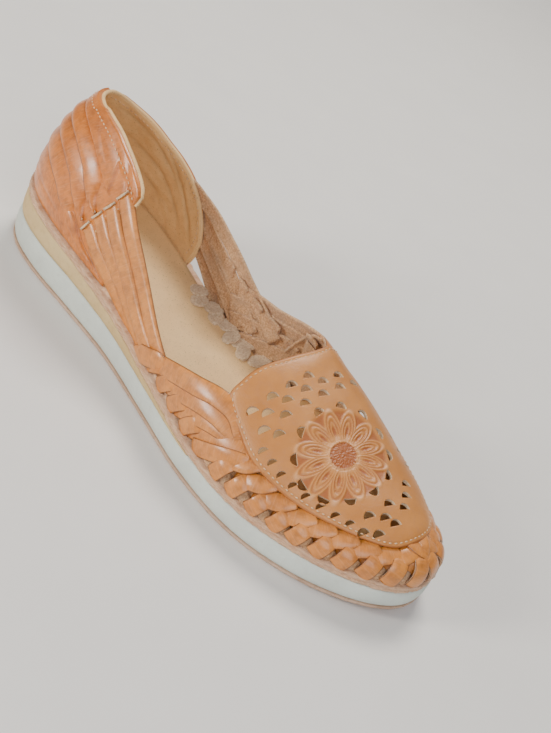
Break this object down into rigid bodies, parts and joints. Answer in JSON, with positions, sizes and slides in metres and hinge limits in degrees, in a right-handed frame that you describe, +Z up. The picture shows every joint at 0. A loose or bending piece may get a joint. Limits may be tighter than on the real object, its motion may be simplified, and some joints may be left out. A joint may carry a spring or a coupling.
{
  "type": "huarache sandal",
  "caption": "Woven leather huarache with closed toe and heel, low open sides, side straps, a perforated vamp panel and a low wedge sole.",
  "frame": {"origin": "on the ground plane under the middle of the heel", "axes": "+Y from heel to toe, +X to the wearer's outer side, +Z up"},
  "size_m": [0.0886, 0.272, 0.0842],
  "materials": {
    "tread_rubber": "matt tan sheet rubber, dirty",
    "white_foam": "matt off-white foam rubber",
    "cream_foam": "matt cream foam rubber",
    "board_leather": "raw cut edge of pressed leather board",
    "sock_leather": "smooth undyed lining leather",
    "woven_leather": "glossy natural tan leather strip",
    "panel_leather": "embossed and waxed tan leather"
  },
  "bodies": {
    "root": {"outsole": "tread_rubber", "midsole": "white_foam", "wedge": "cream_foam", "leather_board": "board_leather", "insole": "sock_leather", "upper": "woven_leather", "vamp_panel": "panel_leather"}
  },
  "joints": []
}
